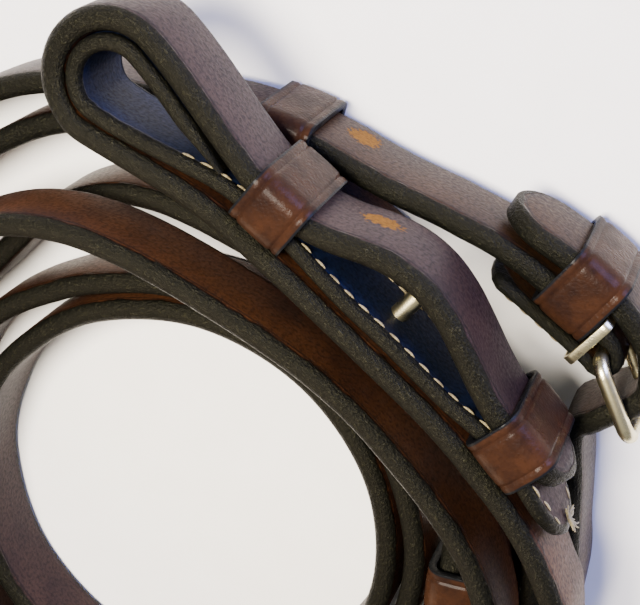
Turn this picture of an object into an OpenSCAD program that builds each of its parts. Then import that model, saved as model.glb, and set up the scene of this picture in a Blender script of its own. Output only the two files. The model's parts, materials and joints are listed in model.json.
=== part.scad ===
// Leather headcollar straps, coiled flat for storage.
// Three narrow straps with hook-stud and buckle ends lie in one bundle.
// The coil's own centre is the drawing centre, +Z is up, and each strap stands on its edge.

/* [Straps] */
// Width of every strap
strap_w = 16; // [14:0.5:18]
// Thickness of every strap
strap_t = 4.2; // [3.5:0.1:4.4]
// Lift of a lower strap where a keeper is on it
keeper_lift = 2; // [1.8:0.1:3]
// Lift of a lower strap where the buckle is on it
buckle_lift = 3; // [3:0.1:3.6]
// Room between a lower strap and the keepers of the upper layer
layer_room = 6; // [5.5:0.5:10]

/* [Hook-stud ends] */
// Thickness of the lining that is sewn on a strap's end
lining_t = 2.8; // [2:0.1:3]
// Inner radius of the lined loop
loop_r = 4.8; // [4:0.1:5.2]
// Radius of the second strap's unlined loop
small_loop_r = 6; // [5:0.2:6.4]
// Glued gap between sewn layers
layer_gap = 0.15; // [0.1:0.05:0.3]
// Radius of a stud's shank
stud_r = 1.6; // [1.2:0.1:2]
// Length of the first stud that stands out of the lining
stud_reach = 6; // [4:0.5:7]
// Radius of a stud's base plate
stud_plate_r = 4; // [3:0.5:5]
// Thickness of a stud's base plate
stud_plate_t = 0.5; // [0.3:0.1:0.5]

/* [Keepers] */
// Length of a keeper along its strap
keeper_w = 10; // [7:0.5:11]
// Thickness of a keeper's leather
keeper_t = 1.4; // [1:0.1:1.5]
// Room between a strap and its keeper
keeper_room = 0.3; // [0.2:0.05:0.4]
// Corner radius of a keeper
keeper_round = 2; // [1:0.2:2.4]

/* [Buckle] */
// Radius of the buckle's side rails
rail_r = 1.3; // [1:0.1:1.4]
// Radius of the buckle's two bars
bar_r = 1.2; // [1:0.1:1.25]
// Distance between the hinge bar and the front bar
buckle_l = 14; // [14:0.2:15]
// Room on each side of the strap inside the buckle
buckle_room = 0.3; // [0.2:0.1:0.6]
// Radius of the tongue's wire
tongue_r = 1.1; // [0.8:0.1:1.2]
// Running clearance of the hinge bar, on the radius
hinge_gap = 0.05; // [0.03:0.01:0.09]
// Thickness of the skived leather that wraps the hinge bar
chape_t = 2.4; // [2:0.1:2.6]
// Width of the metal loop behind the buckle
loop_band_w = 1.6; // [1.2:0.2:2]
// Thickness of the metal loop behind the buckle
loop_band_t = 0.6; // [0.5:0.1:0.7]

/* [Stitching] */
// Length of a stitch
stitch_l = 2.3; // [1.6:0.1:2.6]
// Distance from one stitch to the next
stitch_pitch = 3.2; // [3:0.1:5]
// Thickness of the thread
thread_d = 0.5; // [0.4:0.1:0.8]
// Distance from a row of stitches to the strap's edge
stitch_inset = 2.2; // [1.5:0.1:3]

/* [Hidden] */
$fn = 48;

// Middle of the whole bundle in plan, from the coil's own centre
bundle_mid = [-0.06, 10.22];

// Most distance and most turn between two rings of a strap's skin
ring_step = 7;
ring_turn = 14;

// Heights of a strap's middle: on the surface, on it under a keeper, at the buckle, and on top
low_mid = strap_w / 2;
top_mid = low_mid + strap_w + layer_room;
lift_mid = low_mid + keeper_lift;
buckle_mid = low_mid + buckle_lift;

// A seam's small step and lap, where a strip of the lining runs into the half round
seam_step = 0.1;
seam_lap = 0.5;

// Outward offsets of the sewn layers from the middle of the strap that they are sewn on
keeper_from = strap_t / 2 + layer_gap;
lining_from = keeper_from + keeper_t + layer_gap;
lining_off = lining_from + lining_t / 2;
billet_off = lining_from + lining_t + layer_gap + strap_t / 2;
keeper_to = billet_off + strap_t / 2 + keeper_room + keeper_t;
keeper_h = strap_w + 2 * (keeper_room + keeper_t);

// Places where layers pass through keepers: x, y and heading on the strap's own middle
near_first = [25, 66.2, -38.5];
near_second = [62.4, 32.9, -49];
second_first = [42.2, -46.8, 42];
second_second = [62.9, -4.4, 86];
chape_keeper = [72.3, 55, -38];

// Where the studs stand, on the middle of the strap below the lining: x, y and heading
near_stud = [44, 50.4, -40.4];
second_stud = [56.9, -27.7, 64];

// Centres of the two loops, and the angles that the lined one turns between
loop_mid = [3.4, 89.6];
loop_turn_r = loop_r + lining_t + layer_gap + strap_t / 2;
loop_from = 245;
loop_to = 38;
small_loop_mid = [14.2, -56.8];
small_loop_from = -256;
small_loop_to = -76;

// The buckle's middle in plan, and the heading from its hinge bar to its front bar
buckle_spot = [80.8, 40.3];
buckle_way = -65.8;

// The runner slides on an arc of the binding strap round the coil's centre
runner_arc_r = 81.3;
runner_at = 73;

// A point on a circle round the coil's centre: angle, radius, height of the middle, lean
function round_coil(a, r, z, lean = 0) = [r * cos(a), r * sin(a), z, lean];
// A point beside a place: along its heading, and to the left of it
function beside(k, along, out) =
    [k.x + along * cos(k.z) - out * sin(k.z), k.y + along * sin(k.z) + out * cos(k.z)];
function at_height(p, z) = [p.x, p.y, z, 0];
// The three points that hold a layer straight through a keeper
function through(k, out, z, way = 1) =
    [for (s = [-1, 0, 1]) at_height(beside(k, way * s * keeper_w / 2, out), z)];
// A point in the buckle's own plan: from its middle towards the front bar, and outward
function in_buckle(along, out) = beside([buckle_spot.x, buckle_spot.y, buckle_way], along, out);
hinge_bar = in_buckle(-buckle_l / 2, 0);
front_bar = in_buckle(buckle_l / 2, 0);

// A smooth line through points, with a point at least every ring_step and every ring_turn degrees
function spot(p, i) = p[min(max(i, 0), len(p) - 1)];
function plan(p) = [p.x, p.y];
function way(p, i) = plan(spot(p, i + 1)) - plan(spot(p, i - 1));
function heading(p, i) = atan2(way(p, i).y, way(p, i).x);
function turned(p, i) = abs((heading(p, i + 1) - heading(p, i) + 540) % 360 - 180);
// Plan points follow a spline, and the height or thickness eases from one station to the next
function spline(a, b, c, d, u) =
    b + u / 2 * (c - a) + u * u / 2 * (2 * a - 5 * b + 4 * c - d)
    + u * u * u / 2 * (3 * b - a - 3 * c + d);
function blend(a, b, c, d, u) =
    let (p = spline(plan(a), plan(b), plan(c), plan(d), u), e = b + (c - b) * u * u * (3 - 2 * u))
        [p.x, p.y, for (i = [2:len(b) - 1]) e[i]];
function smooth(p) = [
    for (i = [0:len(p) - 2])
        let (n = ceil(max(norm(plan(p[i + 1]) - plan(p[i])) / ring_step, turned(p, i) / ring_turn)))
            for (k = [0:n - 1]) blend(spot(p, i - 1), p[i], p[i + 1], spot(p, i + 2), k / n),
    p[len(p) - 1]];

// The four corners of a strap's section where a route's point stands
function section(p, a, w, t) =
    let (left = [-sin(a), cos(a)], s = sin(p[3]), c = cos(p[3]))
        [for (k = [[-1, -1], [1, -1], [1, 1], [-1, 1]])
            let (side = k.x * t / 2 * c + k.y * w / 2 * s, up = k.y * w / 2 * c - k.x * t / 2 * s)
                [p.x + side * left.x, p.y + side * left.y, p.z + up]];

// A strap swept along its route
module strap(path) {
    rings = [for (i = [0:len(path) - 1]) section(path[i], heading(path, i), strap_w, strap_t)];
    last = 4 * (len(path) - 1);
    polyhedron(
        [for (r = rings) for (q = r) q],
        concat([[3, 2, 1, 0]],
            [for (i = [0:len(path) - 2]) for (k = [0:3])
                let (a = 4 * i + k, b = 4 * i + (k + 1) % 4) each [[a, b, b + 4], [a, b + 4, a + 4]]],
            [[last, last + 1, last + 2, last + 3]]));
}

// A strip's plan outline along a route of x, y and thickness
function strip_side(path, s) =
    [for (i = [0:len(path) - 1])
        let (a = heading(path, i), d = s * path[i].z / 2) [path[i].x - d * sin(a), path[i].y + d * cos(a)]];
function reversed(p) = [for (i = [len(p) - 1:-1:0]) p[i]];
module strip(path) polygon(concat(strip_side(path, -1), reversed(strip_side(path, 1))));
function thick(points, t) = [for (p = points) [p.x, p.y, t]];

// Everything is drawn round the coil's centre, and moved so that the bundle's middle is the origin
module placed() translate([-bundle_mid.x, -bundle_mid.y, 0]) children();
module at_place(k, z) translate([k.x, k.y, z]) rotate(k.z) children();

// A keeper's ring of leather at a place, from one offset beside the strap to another
module keeper(k, from, to, z) at_place(k, z) translate([-keeper_w / 2, from, -keeper_h / 2])
    rotate([90, 0, 90]) linear_extrude(keeper_w) difference() {
        rounded(to - from, keeper_h, keeper_round);
        translate([keeper_t, keeper_t]) square([to - from - 2 * keeper_t, keeper_h - 2 * keeper_t]);
    }
module rounded(x, y, r) {
    translate([r, 0]) square([x - 2 * r, y]);
    translate([0, r]) square([x, y - 2 * r]);
    for (px = [r, x - r], py = [r, y - r]) translate([px, py]) circle(r);
}

// How far from a lining's middle its stitches lie
stitch_face = lining_t / 2 + 2 * layer_gap;
// A row of stitches on a face beside a route, at one height
module stitch_row(path, out, z) {
    long = [for (i = [0:len(path) - 2]) norm(plan(path[i + 1]) - plan(path[i]))];
    run = [for (i = 0, s = 0; i < len(path); s = s + spot(long, i), i = i + 1) s];
    for (d = [stitch_pitch / 2:stitch_pitch:run[len(run) - 1] - stitch_l]) {
        i = max([for (j = [0:len(run) - 2]) if (run[j] <= d) j]);
        u = (d - run[i]) / long[i];
        p = plan(path[i]) * (1 - u) + plan(path[i + 1]) * u;
        a = atan2(path[i + 1].y - path[i].y, path[i + 1].x - path[i].x);
        translate([p.x, p.y, z - thread_d / 2]) rotate(a) translate([0, out, 0])
            cube([stitch_l, thread_d, thread_d]);
    }
}
module stitch_rows(path, out, z) for (s = [-1, 1])
    stitch_row(path, out, z + s * (strap_w / 2 - stitch_inset));
function part_of(p, a, b) = [for (i = [a:b]) p[i]];

// A hook stud on a lining: base plate, shank and a rounded top
module stud(k, z) at_place(k, z) rotate([-90, 0, 0]) {
    translate([0, 0, stud_foot]) cylinder(h = stud_plate_t, r = stud_plate_r);
    translate([0, 0, stud_foot]) cylinder(h = stud_top - stud_foot - stud_tip, r = stud_r);
    translate([0, 0, stud_top - stud_tip]) cylinder(h = stud_tip, r1 = stud_r, r2 = stud_r - stud_tip);
}
module stud_hole(k, z, room) at_place(k, z) rotate([-90, 0, 0])
    translate([0, 0, stud_foot]) cylinder(h = stud_top, r = stud_r + room);
stud_foot = strap_t / 2 + 2 * layer_gap;
stud_tip = 0.4;
// Between keepers the lining lies closer to the strap, with a stud's plate between them
lining_close = stud_foot + stud_plate_t + layer_gap + lining_t / 2;
stud_top = lining_close + lining_t / 2 + stud_reach;

// ---- Near strap: billet, loop, doubled end, then two and a half turns inward and down ----

near_route = concat(
    [[75.8, 31, top_mid, 0]],
    through(near_second, billet_off, top_mid, -1),
    [for (p = [[62.8, 47.2], [60.1, 52.4], [57.2, 57.6], [53.8, 61.9], [49.6, 65], [44.5, 67],
        [39.2, 68.2]]) at_height(p, top_mid)],
    through(near_first, billet_off, top_mid, -1),
    [for (p = [[21.9, 82], [18, 87.2], [14.4, 91.9]]) at_height(p, top_mid)],
    [for (a = [loop_to:18:loop_from]) at_height(loop_mid + loop_turn_r * [cos(a), sin(a)], top_mid)],
    [for (p = [[8.6, 76.3], [15.2, 73]]) at_height(p, top_mid)],
    through(near_first, 0, top_mid),
    [for (p = [[33.4, 59.4], [38.6, 55], [44, 50.4], [49.4, 45.8], [54.6, 41.2]])
        at_height(p, top_mid)],
    through(near_second, 0, top_mid),
    [for (p = [[69.3, 24.3], [72.4, 19], [75, 13.2]]) at_height(p, top_mid)],
    [for (p = [[5, 77.2, 0.5], [-8, 78, 1], [-22, 78, 1.6], [-40, 77.6, 2.4], [-60, 77, 3],
        [-80, 76, 3.4], [-100, 75, 3.5], [-120, 73.8, 3.5], [-140, 72.4, 3.5], [-160, 71, 3.5],
        [-180, 69.8, 3.5], [-200, 68.6, 3.4], [-220, 67.6, 3.2], [-236, 67, 3], [-246, 66.4, 3],
        [-254, 65.4, 3], [-262, 63.3, 3], [-270, 60.6, 3], [-279, 57.8, 3], [-288, 55.9, 3],
        [-298, 55.2, 3], [-308, 55.5, 3], [-318, 56.4, 3], [-328, 57.7, 3], [-338, 60.2, 3],
        [-348, 63.2, 3], [-358, 65.4, 2.7], [-368, 66.2, 2.2], [-382, 66.2, 1.7], [-396, 65.6, 1.5],
        [-412, 64.4, 1.5], [-428, 62, 1.7], [-444, 59, 2.4]])
        round_coil(p.x, p.y, top_mid - p.z)],
    [for (p = [[-460, 56.8, 0.809], [-476, 55.2, 0.682], [-492, 54, 0.527], [-508, 53, 0.364],
        [-524, 52.4, 0.209], [-540, 52, 0.091], [-556, 51.8, 0.027]])
        round_coil(p.x, p.y, low_mid + p.z * (top_mid - low_mid))],
    [for (p = [[-570, 51.6], [-582, 50.8], [-592, 49.5], [-602, 48.2], [-612, 47.5], [-630, 47],
        [-650, 47], [-670, 47.2], [-690, 47.4], [-720, 47.4], [-750, 47.2], [-780, 46.8],
        [-810, 46.4], [-840, 45.8], [-870, 45], [-900, 44], [-925, 43], [-945, 42.4], [-970, 42.2],
        [-1000, 42.2], [-1030, 42.3], [-1060, 42.3], [-1090, 42], [-1120, 41.6], [-1150, 41.2]])
        round_coil(p.x, p.y, low_mid)]);

// The lining: its long part from the loop past both keepers, and its turned end under the billet
lining_bend_r = loop_r + lining_t / 2;
function off_bend(a, ahead) =
    loop_mid + lining_bend_r * [cos(a), sin(a)] + ahead * [-sin(a), cos(a)];
near_lining_long = smooth(thick(concat(
    [off_bend(loop_from, -seam_lap), off_bend(loop_from, 3), [8.4, 80.6], [14.6, 78.1], [20, 75.9]],
    through(near_first, lining_off, 0),
    [[36.5, 62.9], [41.4, 58.3], beside(near_stud, 0, lining_close), [52.2, 49], [57.6, 44.2]],
    through(near_second, lining_off, 0),
    [[72.4, 28.2], [75.2, 23.3], [77.2, 18.8], [78.6, 14.6]]), lining_t - seam_step));
near_lining_turn = smooth(thick(
    [off_bend(loop_to, seam_lap), off_bend(loop_to, -2), [11.5, 89.7], [15.1, 85], [18, 81.2]],
    lining_t - seam_step));

module near_strap() color("#5a372d") placed() strap(smooth(near_route));

// The lining turns inside the loop as a true half round, for a ring to bear on
module near_lining() color("#323c55") placed() difference() {
    translate([0, 0, top_mid - strap_w / 2]) {
        linear_extrude(strap_w) strip(near_lining_long);
        linear_extrude(strap_w) strip(near_lining_turn);
        translate([loop_mid.x, loop_mid.y, 0]) rotate(loop_to)
            rotate_extrude(angle = loop_from - loop_to) translate([loop_r, 0])
                square([lining_t, strap_w]);
    }
    stud_hole(near_stud, top_mid, layer_gap);
}

module near_keeper_first() color("#825537") placed()
    keeper(near_first, keeper_from, keeper_to, top_mid);
module near_keeper_second() color("#825537") placed()
    keeper(near_second, keeper_from, keeper_to, top_mid);
module near_hook_stud() color("#beb48c") placed() stud(near_stud, top_mid);
module near_stitching() color("#c8be96") placed() {
    stitch_rows([for (p = near_lining_long) if (p.x > 33 && p.x < 62) p], stitch_face, top_mid);
    stitch_rows([for (p = near_lining_long) if (p.x > 70) p], stitch_face, top_mid);
}

// ---- Second strap: its doubled end lies inside the coil, then a turn and three quarters ----

second_route = concat(
    [round_coil(6, 53.9, lift_mid)],
    through(second_second, billet_off, lift_mid, -1),
    [for (p = [[-15, 53.7], [-26, 53.6], [-37, 53.7]]) round_coil(p.x, p.y, lift_mid)],
    through(second_first, billet_off, lift_mid, -1),
    [for (p = [[-60, 53.8], [-68, 52.9]]) round_coil(p.x, p.y, lift_mid)],
    [for (a = [small_loop_from:20:small_loop_to])
        at_height(small_loop_mid + small_loop_r * [cos(a), sin(a)], lift_mid)],
    [for (p = [[-68, 64.1], [-60, 63.5]]) round_coil(p.x, p.y, lift_mid)],
    through(second_first, 0, lift_mid),
    [for (p = [[-37, 63.2], [-26, 63.3], [-15, 63.2]]) round_coil(p.x, p.y, lift_mid)],
    through(second_second, 0, lift_mid),
    [for (p = [[8, 62.3, 10], [18, 61, 9.6], [28, 59.6, 9.2], [38, 58.8, 8.6], [48, 58.3, 8.2]])
        round_coil(p.x, p.y, low_mid + (p.z - 8) * keeper_lift / 2)],
    [for (p = [[58, 58], [68, 58.2], [76, 59.2], [84, 61], [91, 62.8], [98, 63.8], [106, 63.2],
        [114, 61.2], [122, 59], [130, 57.8], [140, 58.2], [152, 60], [166, 62.2], [180, 64],
        [196, 65.8], [212, 67.2], [230, 68.4], [250, 69], [270, 69.4], [290, 69.6], [310, 69.6],
        [330, 69.4], [350, 69.2], [370, 68.8], [385, 68.4], [400, 68.6], [414, 70], [426, 72],
        [438, 74], [448, 75.6], [458, 76.8], [466, 77.3], [474, 76.6], [484, 75.8], [496, 76],
        [512, 76.8], [530, 77.6], [550, 78], [570, 78.2], [590, 78.2]])
        round_coil(p.x, p.y, low_mid)]);
second_lining_route = smooth(thick(concat(
    [round_coil(-58, 57.9, 0)],
    through(second_first, lining_off, 0),
    [round_coil(-37, 58.7, 0), beside(second_stud, 0, lining_close), round_coil(-15, 58.7, 0)],
    through(second_second, lining_off, 0),
    [round_coil(4, 58.2, 0)]), lining_t));

module second_strap() color("#5a372d") placed() difference() {
    strap(smooth(second_route));
    at_place(second_stud, lift_mid) rotate([-90, 0, 0]) translate([0, 0, lining_close])
        cylinder(h = stud_top, r = stud_r + 2 * layer_gap);
}
module second_lining() color("#323c55") placed() difference() {
    translate([0, 0, lift_mid - strap_w / 2]) linear_extrude(strap_w) strip(second_lining_route);
    stud_hole(second_stud, lift_mid, layer_gap);
}
module second_keeper_first() color("#825537") placed()
    keeper(second_first, keeper_from, keeper_to, lift_mid);
module second_keeper_second() color("#825537") placed()
    keeper(second_second, keeper_from, keeper_to, lift_mid);
module second_hook_stud() color("#beb48c") placed() stud(second_stud, lift_mid);
module second_stitching() color("#c8be96") placed()
    stitch_rows(part_of(second_lining_route, 5, len(second_lining_route) - 6),
        stitch_face, lift_mid);

// ---- Binding strap: from its tip through the keeper and the buckle, once round the bundle ----

tail_off = strap_t + 4 * layer_gap + loop_band_t;
// How far along the buckle the tail passes, with a gap between it and the front bar
bar_room = 0.8;
pass_at = buckle_l / 2 - bar_r - bar_room - strap_t / 2;
binding_route = concat(
    [[60.8, 68.7, buckle_mid, 0], [65, 66.3, buckle_mid, 0]],
    through(chape_keeper, tail_off, buckle_mid),
    [for (p = [[-9.7, 7.2], [-5.3, 6.5], [-1.6, 4.7], [-0.1, 1], [0, -1.6], [0.7, -5.4], [1.9, -9.4]])
        at_height(in_buckle(pass_at + p.x, p.y), buckle_mid)],
    [for (p = [[16, 77.6, 2.6], [8, 75.4, 1.6], [-2, 74.8, 0.6]])
        round_coil(p.x, p.y, low_mid + p.z * buckle_lift / 3)],
    [for (p = [[-20, 74.6], [-45, 75.2], [-70, 77], [-90, 79], [-120, 82], [-150, 84.6],
        [-180, 86], [-210, 87], [-230, 86.6], [-248, 85.4], [-260, 84]])
        round_coil(p.x, p.y, low_mid)],
    [for (a = [92:-6:62]) round_coil(a, runner_arc_r + max(0, a - 88) / 4, lift_mid)],
    [for (p = [[44.3, 69.3, 2.2], [50, 67.4, 2.5], [54.6, 65.6, 2.8], [58.5, 64.1, 3]])
        at_height(p, low_mid + p.z * buckle_lift / 3)]);

module binding_strap() color("#5a372d") placed() difference() {
    strap(smooth(binding_route));
    at_place([buckle_spot.x, buckle_spot.y, buckle_way], buckle_mid)
        translate([pass_at - 4.9, tongue_out - tongue_r - 0.6, -tongue_r - 0.5])
            cube([8, 2 * tongue_r + 1.7, 2 * tongue_r + 1]);
}

// The strap's folded end: one leg on each side of the keeper's inner wall, and a wrap round the bar
wrap_r = bar_r + hinge_gap;
fold_r = wrap_r + chape_t / 2;
inner_leg_t = 2.6;
inner_leg_off = -(strap_t / 2 + 2 * layer_gap + keeper_t + inner_leg_t / 2);
fold_out = in_buckle(-buckle_l / 2, fold_r);
fold_in = in_buckle(-buckle_l / 2, -fold_r);
outer_leg = smooth(concat(
    [[58.9, 63.9, strap_t], [61.8, 62.4, strap_t], [65, 60.5, strap_t]],
    thick(through(chape_keeper, 0, 0), strap_t),
    [[79.5, 49, 2.8], [fold_out.x, fold_out.y, chape_t]]));
inner_leg = smooth(concat(
    [[58.6, 58.5, 1.6], [61.8, 56.5, inner_leg_t]],
    thick(through(chape_keeper, inner_leg_off, 0), inner_leg_t),
    [[fold_in.x, fold_in.y, chape_t]]));
module buckle_chape() color("#5a372d") placed() difference() {
    translate([0, 0, buckle_mid - strap_w / 2]) linear_extrude(strap_w) difference() {
        union() {
            strip(outer_leg);
            strip(inner_leg);
            intersection() {
                translate(hinge_bar) circle(wrap_r + chape_t);
                translate(hinge_bar) rotate(buckle_way) translate([-1, -2 * fold_r])
                    square([4 * fold_r, 4 * fold_r]);
            }
        }
        translate(hinge_bar) circle(wrap_r);
    }
    translate([hinge_bar.x, hinge_bar.y, buckle_mid - tongue_r - 0.4])
        cylinder(h = 2 * tongue_r + 0.8, r = wrap_r + chape_t + 0.4);
}
module buckle_keeper() color("#825537") placed()
    keeper(chape_keeper, -keeper_t - keeper_from, tail_off + strap_t / 2 + keeper_room + keeper_t,
        buckle_mid);
module chape_stitching() color("#c8be96") placed()
    stitch_rows(part_of(inner_leg, 1, len(inner_leg) - 3), -inner_leg_t / 2 - 2 * layer_gap - thread_d,
        buckle_mid);

// A metal loop that holds the two legs together behind the bar
loop_place = [77.2, 51, -40];
module buckle_loop() color("#beb48c") placed() at_place(loop_place, buckle_mid) {
    from = inner_leg_off - inner_leg_t / 2 - keeper_room - loop_band_t;
    to = strap_t / 2 + layer_gap + loop_band_t;
    high = strap_w + 2 * layer_gap + 2 * loop_band_t;
    translate([-loop_band_w / 2, from, -high / 2]) difference() {
        cube([loop_band_w, to - from, high]);
        translate([-1, loop_band_t, loop_band_t])
            cube([loop_band_w + 2, to - from - 2 * loop_band_t, high - 2 * loop_band_t]);
    }
}

// The buckle: two side rails and two bars, turning in the chape, and a tongue on the same bar
rail_up = strap_w / 2 + buckle_room + rail_r;
module buckle_frame() color("#beb48c") placed() {
    for (p = [hinge_bar, front_bar]) translate([p.x, p.y, buckle_mid - rail_up])
        cylinder(h = 2 * rail_up, r = bar_r);
    for (s = [-1, 1]) at_place([hinge_bar.x, hinge_bar.y, buckle_way], buckle_mid + s * rail_up)
        translate([-rail_r, 0, 0]) rotate([0, 90, 0]) cylinder(h = buckle_l + 2 * rail_r, r = rail_r);
}
tongue_out = bar_r + tongue_r + 0.3;
tongue_ring_t = 1.2;
module buckle_tongue() color("#beb48c") placed()
    at_place([hinge_bar.x, hinge_bar.y, buckle_way], buckle_mid) difference() {
        union() {
            translate([0, 0, -tongue_r]) cylinder(h = 2 * tongue_r, r = wrap_r + tongue_ring_t);
            translate([0, tongue_out, 0]) rotate([0, 90, 0]) cylinder(h = buckle_l + 0.6, r = tongue_r);
        }
        translate([0, 0, -2 * tongue_r]) cylinder(h = 4 * tongue_r, r = wrap_r);
    }

// A loose runner keeper that slides round the binding strap
module runner_keeper() color("#825537") placed()
    keeper([runner_arc_r * cos(runner_at), runner_arc_r * sin(runner_at), runner_at - 90],
        -(strap_t / 2 + keeper_room + keeper_t), strap_t / 2 + keeper_room + keeper_t, lift_mid);

near_strap();
near_lining();
near_keeper_first();
near_keeper_second();
near_hook_stud();
near_stitching();
second_strap();
second_lining();
second_keeper_first();
second_keeper_second();
second_hook_stud();
second_stitching();
binding_strap();
buckle_chape();
buckle_keeper();
chape_stitching();
buckle_loop();
buckle_frame();
buckle_tongue();
runner_keeper();
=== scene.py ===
import json
from math import ceil, cos, pi, radians, sin

import bmesh
import bpy
import numpy as np
from mathutils import Matrix, Vector


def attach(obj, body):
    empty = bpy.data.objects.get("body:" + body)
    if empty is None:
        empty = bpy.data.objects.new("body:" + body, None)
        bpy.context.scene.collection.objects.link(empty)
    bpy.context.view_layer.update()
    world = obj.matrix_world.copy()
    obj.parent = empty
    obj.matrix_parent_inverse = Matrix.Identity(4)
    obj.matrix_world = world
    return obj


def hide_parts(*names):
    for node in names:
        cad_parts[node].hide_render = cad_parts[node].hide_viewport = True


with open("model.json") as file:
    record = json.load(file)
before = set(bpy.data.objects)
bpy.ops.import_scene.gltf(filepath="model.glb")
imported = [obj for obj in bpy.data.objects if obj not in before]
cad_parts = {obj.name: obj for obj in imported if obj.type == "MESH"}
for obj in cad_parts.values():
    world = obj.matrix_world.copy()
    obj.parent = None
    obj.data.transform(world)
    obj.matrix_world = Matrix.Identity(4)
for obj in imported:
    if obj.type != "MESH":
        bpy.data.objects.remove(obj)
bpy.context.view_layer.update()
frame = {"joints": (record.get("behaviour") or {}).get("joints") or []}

# ---- Near strap ----
# One long strap of waxed bridle leather, cut flat, its edges rounded and burnished black.
# Its end passes back through two keepers as a billet, and the rest winds inward and down.
MM = 0.001
STRAP_WIDTH, STRAP_THICK = 16, 4.2
EDGE_ROUND, EDGE_CREASE, STRAP_TIP = 1.85, 6.3, 8
KEEPER_LENGTH, KEEPER_THICK, LINING_THICK, GLUE = 10, 1.4, 2.8, 0.15
joint_at = {j["name"]: Vector(j["pos_m"]) / MM for j in frame["joints"]}
coil_middle = joint_at["runner_slide"]

LINING_FROM = STRAP_THICK / 2 + KEEPER_THICK + 2 * GLUE
LINING_OUT = LINING_FROM + LINING_THICK / 2
BILLET_OUT = LINING_FROM + LINING_THICK + GLUE + STRAP_THICK / 2
NEAR_FIRST, NEAR_SECOND = (25, 66.2, -38.5), (62.4, 32.9, -49)
LOW, TOP = 8, 30


def on_circle(angle, radius, middle=(0, 0)):
    return (middle[0] + radius * cos(radians(angle)),
            middle[1] + radius * sin(radians(angle)))


def round_coil(stations):
    """Points round the coil's middle, each given by its angle, its radius and its height."""
    return [(*on_circle(angle, radius), height) for angle, radius, height in stations]


def beside(place, along, out):
    """A point so far along and so far to the left of a place, which is x, y and a heading."""
    x, y, heading = place[0], place[1], radians(place[2])
    return (x + along * cos(heading) - out * sin(heading),
            y + along * sin(heading) + out * cos(heading))


def through(place, out, height, way=1):
    """A strap's straight run through a keeper, as three points."""
    return [(*beside(place, way * s * KEEPER_LENGTH / 2, out), height) for s in (-1, 0, 1)]


def at_height(points, height):
    return [(x, y, height) for x, y in points]


def smooth(stations):
    """Rows up to 1 mm apart on a route: its plan is a spline, and all else eases between stations."""
    rows = []
    stations = np.array(stations, float)
    last = len(stations) - 1
    for i in range(last):
        a, b, c, d = (stations[min(max(k, 0), last)] for k in (i - 1, i, i + 1, i + 2))
        count = max(2, ceil(np.hypot(*(c - b)[:2])))
        for u in np.arange(count) / count:
            plan = b + u / 2 * (c - a) + u * u / 2 * (2 * a - 5 * b + 4 * c - d) \
                + u ** 3 / 2 * (3 * b - a - 3 * c + d)
            eased = b + (c - b) * u * u * (3 - 2 * u)
            rows.append([*plan[:2], *eased[2:]])
    return np.array(rows + [stations[last]])


def run_of(route):
    """The distance along a route to each of its rows."""
    return np.concatenate([[0], np.cumsum(np.hypot(*np.diff(route[:, :2], axis=0).T))])


def select(kind, test):
    """Selects in edit mode the edges or faces that pass a test, and nothing else."""
    mesh = bmesh.from_edit_mesh(bpy.context.object.data)
    bpy.ops.mesh.select_all(action="DESELECT")
    bpy.ops.mesh.select_mode(type=kind)
    for part in mesh.edges if kind == "EDGE" else mesh.faces:
        if test(part):
            part.select_set(True)
    bmesh.update_edit_mesh(bpy.context.object.data)


def runs_along(edge):
    way = edge.verts[1].co - edge.verts[0].co
    return abs(way.x) > 0.99 * way.length


def block(name, middle, size):
    """A plain block with its place and size in its mesh, left in edit mode."""
    bpy.ops.object.select_all(action="DESELECT")
    bpy.ops.mesh.primitive_cube_add(size=1, location=Vector(middle) * MM, scale=Vector(size) * MM)
    piece = bpy.context.object
    piece.name = piece.data.name = name
    bpy.ops.object.transform_apply(location=True, rotation=True, scale=True)
    bpy.ops.object.mode_set(mode="EDIT")
    return piece


def flat_strap(name, length, thick, width, edge, step=1.4):
    """A straight strap with round edges, cut across into short lengths so that it can bend."""
    strap = block(name, (length / 2, 0, 0), (length, thick, width))
    select("EDGE", runs_along)
    bpy.ops.mesh.bevel(offset=edge * MM, segments=5, affect="EDGES")
    cuts = max(1, ceil((length / step) ** 0.5) - 1)
    for _ in range(2):
        select("EDGE", runs_along)
        bpy.ops.mesh.subdivide(number_cuts=cuts)
    bpy.ops.object.mode_set(mode="OBJECT")
    return strap


def points_of(piece):
    """The places of a piece's points, in millimetres."""
    points = np.empty(len(piece.data.vertices) * 3)
    piece.data.vertices.foreach_get("co", points)
    return points.reshape(-1, 3) / MM


def set_points(piece, points):
    piece.data.vertices.foreach_set("co", (points * MM).ravel())
    piece.data.update()


def round_tip(piece, length, tip, at_end=False, skive=0.35):
    """Cuts a strap's end to a half round, and thins it a little towards the tip."""
    points = points_of(piece)
    far = length - points[:, 0] if at_end else points[:, 0]
    near = far < tip
    turn = np.clip(far[near] / tip, 0, 1) * pi / 2
    new_far = tip * (1 - np.cos(turn))
    points[near, 0] = length - new_far if at_end else new_far
    points[near, 2] *= np.maximum(np.sin(turn), 0.1)
    middle = points[:, 1].mean()
    points[near, 1] = middle + (points[near, 1] - middle) * (1 - skive * (1 - np.sin(turn)))
    set_points(piece, points)


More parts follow.
